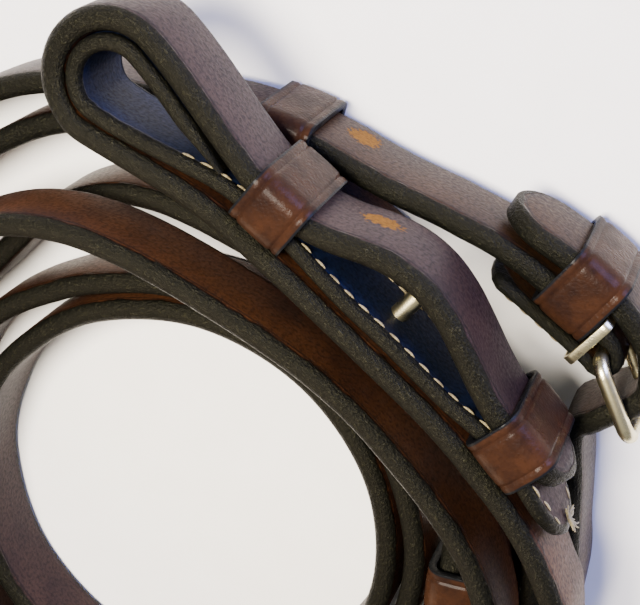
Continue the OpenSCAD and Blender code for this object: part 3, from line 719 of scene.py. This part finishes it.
second_route = smooth(
    round_coil([(6, 53.9, LIFTED)]) + through(SECOND_SECOND, BILLET_OUT, LIFTED, -1)
    + round_coil([(-15, 53.7, LIFTED), (-26, 53.6, LIFTED), (-37, 53.7, LIFTED)])
    + through(SECOND_FIRST, BILLET_OUT, LIFTED, -1)
    + round_coil([(-60, 53.8, LIFTED), (-68, 52.9, LIFTED)])
    + at_height([on_circle(a, SMALL_RADIUS, SMALL_LOOP) for a in range(-256, -75, 20)], LIFTED)
    + round_coil([(-68, 64.1, LIFTED), (-60, 63.5, LIFTED)]) + through(SECOND_FIRST, 0, LIFTED)
    + round_coil([(-37, 63.2, LIFTED), (-26, 63.3, LIFTED), (-15, 63.2, LIFTED)])
    + through(SECOND_SECOND, 0, LIFTED)
    + round_coil([eased(*p) for p in [(8, 62.3, 2), (18, 61, 1.6), (28, 59.6, 1.2),
                                      (38, 58.8, 0.6), (48, 58.3, 0.2)]])
    + round_coil([(a, r, LOW) for a, r in
                  [(58, 58), (68, 58.2), (76, 59.2), (84, 61), (91, 62.8), (98, 63.8),
                   (106, 63.2), (114, 61.2), (122, 59), (130, 57.8), (140, 58.2), (152, 60),
                   (166, 62.2), (180, 64), (196, 65.8), (212, 67.2), (230, 68.4), (250, 69),
                   (270, 69.4), (290, 69.6), (310, 69.6), (330, 69.4), (350, 69.2), (370, 68.8),
                   (385, 68.4), (400, 68.6), (414, 70), (426, 72), (438, 74), (448, 75.6),
                   (458, 76.8), (466, 77.3), (474, 76.6), (484, 75.8), (496, 76), (512, 76.8),
                   (530, 77.6), (550, 78), (570, 78.2), (590, 78.2)]]))
second_length = run_of(second_route)[-1]
second_strap = flat_strap("second_bridle_strap", second_length, STRAP_THICK, STRAP_WIDTH,
                          EDGE_ROUND)
round_tip(second_strap, second_length, STRAP_TIP)
round_tip(second_strap, second_length, STRAP_TIP, at_end=True)
wind(second_strap, second_route)
dress(second_strap, leather("waxed_bridle_leather_second", "#40240f", "#28160a", STRAP_WIDTH,
                            second_length, crease=EDGE_CREASE),
      "root", "strap", "second_strap")

second_lining_route = smooth(
    round_coil([(-58, 57.9, LIFTED)]) + through(SECOND_FIRST, LINING_OUT, LIFTED)
    + round_coil([(-37, 58.7, LIFTED)])
    + at_height([beside(SECOND_STUD, 0, LINING_CLOSE)], LIFTED)
    + round_coil([(-15, 58.7, LIFTED)]) + through(SECOND_SECOND, LINING_OUT, LIFTED)
    + round_coil([(4, 58.2, LIFTED)]))
second_lining_length = run_of(second_lining_route)[-1]
second_lining = flat_strap("second_lining_in_painted_navy_shade", second_lining_length, LINING_THICK, LINING_WIDTH,
                           LINING_EDGE)
wind(second_lining, second_lining_route)
# Painted shade: this lining is coloured navy all along, for the cool shade it lies in
dress(second_lining, leather("lining_leather_painted_navy_shade_second", PAINTED_SHADE_NAVY, PAINTED_SHADE_NAVY_DARK, LINING_WIDTH,
                             second_lining_length, tip=0.5, gloss=LINING_GLOSS),
      "root", "lining", "second_lining")
second_thread = sew("second_linen_stitching",
                    rows(SEWN_FROM, second_lining_length - SEWN_TO, lining_face))
wind(second_thread, second_lining_route)
dress(second_thread, thread, "root", "thread", "second_stitching")
keeper("second_first_leather_keeper", "second_keeper_first", SECOND_FIRST, two_straps, LIFTED)
keeper("second_second_leather_keeper", "second_keeper_second", SECOND_SECOND, two_straps, LIFTED)
hook_stud("second_turned_stud", "second_hook_stud", SECOND_STUD, LIFTED)

# ---- Binding strap ----
# The strap that holds the bundle: its tail passes through the buckle, and it goes once round.
# Its other end is pared thin, folded round the buckle's bar and laid back on itself.
BUCKLE_LIFT = 3
BUCKLE_MID = LOW + BUCKLE_LIFT
BUCKLE, BUCKLE_LENGTH = (80.8, 40.3, -65.8), 14
CHAPE_KEEPER = (72.3, 55, -38)
BAR_RADIUS, HINGE_GAP, CHAPE_THICK, LEG_THICK = 1.2, 0.05, 2.4, 2.6
LOOP_THICK, LOOP_LENGTH = 0.6, 1.6
TAIL_OUT = STRAP_THICK + 4 * GLUE + LOOP_THICK
RUNNER_RADIUS, RUNNER_AT = 81.3, 73
CHAPE_TIP, CHAPE_SEWN, CHAPE_UNSEWN = 3, 15, 5
RUBBED = (34, 74.6)
fold = BAR_RADIUS + HINGE_GAP + CHAPE_THICK / 2
leg_out = -(STRAP_THICK / 2 + 2 * GLUE + KEEPER_THICK + LEG_THICK / 2)


def full(points):
    """The same points where the strap has its full thickness."""
    return [(*p, STRAP_THICK) for p in points]


def in_buckle(along, out):
    return beside(BUCKLE, along, out)


binding_route = smooth(
    full(at_height([(60.8, 68.7), (65, 66.3)], BUCKLE_MID)
         + through(CHAPE_KEEPER, TAIL_OUT, BUCKLE_MID)
         + at_height([in_buckle(*p) for p in [(-6.8, 7.2), (-2.4, 6.5), (1.3, 4.7), (2.8, 1),
                                              (2.9, -1.6), (3.6, -5.4), (4.8, -9.4)]], BUCKLE_MID)
         + round_coil([(16, 77.6, LOW + 2.6), (8, 75.4, LOW + 1.6), (-2, 74.8, LOW + 0.6)]
                      + [(a, r, LOW) for a, r in
                         [(-20, 74.6), (-45, 75.2), (-70, 77), (-90, 79), (-120, 82), (-150, 84.6),
                          (-180, 86), (-210, 87), (-230, 86.6), (-248, 85.4), (-260, 84)]]
                      + [(a, RUNNER_RADIUS + max(0, a - 88) / 4, LIFTED)
                         for a in range(92, 61, -6)])
         + [(44.3, 69.3, LOW + 2.2), (50, 67.4, LOW + 2.5), (54.6, 65.6, LOW + 2.8)]
         + at_height([(58.9, 63.9), (61.8, 62.4), (65, 60.5)], BUCKLE_MID)
         + through(CHAPE_KEEPER, 0, BUCKLE_MID))
    + [(79.5, 49, BUCKLE_MID, 2.8)]
    + [(*in_buckle(-BUCKLE_LENGTH / 2 + fold * sin(radians(a)), fold * cos(radians(a))),
        BUCKLE_MID, CHAPE_THICK) for a in range(0, 181, 30)]
    + [(*beside(CHAPE_KEEPER, s * KEEPER_LENGTH / 2, leg_out), BUCKLE_MID, LEG_THICK)
       for s in (1, 0, -1)]
    + [(61.8, 56.5, BUCKLE_MID, LEG_THICK), (58.6, 58.5, BUCKLE_MID, 1.6)])
binding_length = run_of(binding_route)[-1]
binding_strap = flat_strap("binding_bridle_strap", binding_length, STRAP_THICK, STRAP_WIDTH,
                           EDGE_ROUND, step=1.0)
round_tip(binding_strap, binding_length, STRAP_TIP)
round_tip(binding_strap, binding_length, CHAPE_TIP, at_end=True)
wind(binding_strap, binding_route, STRAP_THICK)
second_half = len(binding_route) // 2
rubbed_row = second_half + np.hypot(*(binding_route[second_half:, :2] - RUBBED).T).argmin()
rubbed_along = run_of(binding_route)[rubbed_row]
dress(binding_strap, leather("waxed_bridle_leather_binding", "#32200f", "#20130a", STRAP_WIDTH,
                             binding_length, crease=EDGE_CREASE,
                             scuff=((rubbed_along, STRAP_THICK / 2, -2), (3, 3, 3))),
      "root", "strap", "binding_strap", "buckle_chape")

chape_thread = sew("chape_linen_stitching",
                   rows(binding_length - CHAPE_SEWN, binding_length - CHAPE_UNSEWN,
                        LEG_THICK / 2 + 0.1))
wind(chape_thread, binding_route)
dress(chape_thread, thread, "root", "thread", "chape_stitching")
keeper("buckle_leather_keeper", "buckle_keeper", CHAPE_KEEPER,
       (-KEEPER_THICK - KEEPER_FROM, TAIL_OUT + STRAP_THICK / 2 + KEEPER_ROOM + KEEPER_THICK),
       BUCKLE_MID)
runner_place = (*on_circle(RUNNER_AT, RUNNER_RADIUS), RUNNER_AT - 90)
runner_half = STRAP_THICK / 2 + KEEPER_ROOM + KEEPER_THICK
keeper("loose_runner_keeper", "runner_keeper", runner_place, (-runner_half, runner_half), LIFTED,
       body="runner", corner=2.6)

# ---- Buckle ----
# A cast brass frame on a round bar, a tongue bent round the same bar, and a flat brass loop.
# The frame and the tongue turn in the fold of the strap's thin end.
RAIL_RADIUS, BUCKLE_ROOM, CORNER = 1.3, 0.3, 2.6
rail_up = STRAP_WIDTH / 2 + BUCKLE_ROOM + RAIL_RADIUS
hinge = joint_at["buckle_hinge"]
to_buckle = Matrix.Translation(hinge * MM) @ Matrix.Rotation(radians(BUCKLE[2]), 4, "Z")


def rod(name, points, radius, closed=False):
    """A cast rod along points: along the buckle, outward, up, and the rod's thickness there."""
    curve = bpy.data.curves.new(name, "CURVE")
    curve.dimensions, curve.bevel_depth, curve.bevel_resolution = "3D", radius * MM, 6
    curve.use_fill_caps = True
    spline = curve.splines.new("POLY")
    spline.use_cyclic_u = closed
    spline.points.add(len(points) - 1)
    for point, (along, out, up, size) in zip(spline.points, points):
        point.co = (along * MM, out * MM, up * MM, 1)
        point.radius = size / radius
    made = bpy.data.objects.new(name, curve)
    bpy.context.scene.collection.objects.link(made)
    bpy.ops.object.select_all(action="DESELECT")
    made.select_set(True)
    bpy.context.view_layer.objects.active = made
    bpy.ops.object.convert(target="MESH")
    made = bpy.context.object
    bpy.ops.object.shade_smooth_by_angle(angle=radians(50))
    return made


def frame_outline():
    """The buckle's outline with its rounded corners, thinner on the side that is the hinge bar."""
    points = []
    corners = [(BUCKLE_LENGTH, rail_up, 0), (0, rail_up, 90), (0, -rail_up, 180),
               (BUCKLE_LENGTH, -rail_up, 270)]
    for along, up, turn in corners:
        inner_x = along - CORNER if along else CORNER
        inner_z = up - CORNER if up > 0 else up + CORNER
        for a in range(0, 91, 15):
            x, z = on_circle(turn + a, CORNER, (inner_x, inner_z))
            on_bar = abs(z) < rail_up - CORNER + 0.01
            points.append((x, 0, z, BAR_RADIUS if on_bar else RAIL_RADIUS))
    return points


buckle = rod("cast_buckle_frame", frame_outline(), RAIL_RADIUS, closed=True)
buckle.data.transform(to_buckle)
dress(buckle, metal, "buckle_frame", "metal", "buckle_frame")

TONGUE_RADIUS, EYE_WIRE = 1.1, 0.55
tongue_out = BAR_RADIUS + TONGUE_RADIUS + 0.3
shank = rod("tongue_shank", [(0, tongue_out, 0, 0.9), (3, tongue_out + 0.15, 0, TONGUE_RADIUS),
                             (8, tongue_out + 0.1, 0, TONGUE_RADIUS), (12, tongue_out, 0, 0.95),
                             (14, tongue_out - 0.1, 0, 0.8), (14.6, tongue_out - 0.2, 0, 0.5)],
            TONGUE_RADIUS)
bpy.ops.mesh.primitive_torus_add(major_segments=32, minor_segments=12,
                                 major_radius=(BAR_RADIUS + HINGE_GAP + EYE_WIRE) * MM,
                                 minor_radius=EYE_WIRE * MM)
eye = bpy.context.object
tongue = join("bent_buckle_tongue", [shank, eye])
tongue.data.transform(to_buckle)
bpy.ops.object.shade_smooth_by_angle(angle=radians(50))
dress(tongue, metal, "buckle_tongue", "metal", "buckle_tongue")

LOOP_PLACE, LOOP_CORNER = (77.2, 51, -40), 1.6
brass_loop = band("flat_brass_loop", LOOP_PLACE, BUCKLE_MID,
                  (leg_out - LEG_THICK / 2 - KEEPER_ROOM - LOOP_THICK,
                   STRAP_THICK / 2 + GLUE + LOOP_THICK),
                  STRAP_WIDTH + 2 * GLUE + 2 * LOOP_THICK, LOOP_LENGTH, LOOP_THICK, LOOP_CORNER)
dress(brass_loop, metal, "root", "metal", "buckle_loop")

# ---- Studio ----
# A plain pale floor under the straps, a warm light above, a cool one at the side and a low fill.
# The camera looks steeply down on the hook-stud end from outside the coil.
bpy.ops.object.select_all(action="DESELECT")
bpy.ops.mesh.primitive_plane_add(size=4)
floor = bpy.context.object
floor.name = "floor"
floor_paint, tree = new_material("pale_matt_paint")
grain = add(tree, "TexNoise", {"Scale": 400, "Detail": 3})
shade = add(tree, "Mix", {0: grain.outputs[0], 6: linear("#fdfcfa"), 7: linear("#f6f4f0")},
            data_type="RGBA")
add(tree, "OutputMaterial", {"Surface": add(tree, "BsdfPrincipled", {
    "Base Color": shade.outputs[2], "Roughness": 0.7}).outputs[0]})
floor.data.materials.append(floor_paint)

target = coil_middle + Vector((34, 54, 18))


def soft_light(name, offset, size, power, colour):
    light = bpy.data.lights.new(name, "AREA")
    light.shape, light.size, light.energy = "DISK", size, power
    light.color = linear(colour)[:3]
    lamp = bpy.data.objects.new(name, light)
    bpy.context.scene.collection.objects.link(lamp)
    lamp.location = (target + Vector(offset)) * MM
    lamp.rotation_euler = Vector(offset).to_track_quat("Z", "Y").to_euler()


soft_light("top_softbox", (-60, 150, 560), 0.25, 16, "#fff4e4")
soft_light("cool_window", (420, 380, 150), 0.35, 8, "#9aa6ff")
soft_light("low_fill", (-300, -420, 200), 0.4, 2.5, "#ffe2c4")
world = bpy.data.worlds.new("studio")
world.use_nodes = True
world.node_tree.nodes["Background"].inputs[0].default_value = linear("#f6f4f2")
world.node_tree.nodes["Background"].inputs[1].default_value = 0.4
bpy.context.scene.world = world

lens = bpy.data.cameras.new("camera")
lens.lens, lens.sensor_width = 81.5, 36
lens.clip_start = 0.01
camera = bpy.data.objects.new("camera", lens)
bpy.context.scene.collection.objects.link(camera)
camera_at = coil_middle + Vector((104.31, 146.26, 218.92))
right = 0.94387, 0, -0.33031
up = -0.13136, 0.91753, -0.37536
back = 0.30307, 0.39768, 0.86603
camera.matrix_world = Matrix.Translation(camera_at * MM) \
    @ Matrix((right, up, back)).transposed().to_4x4()
bpy.context.scene.camera = camera
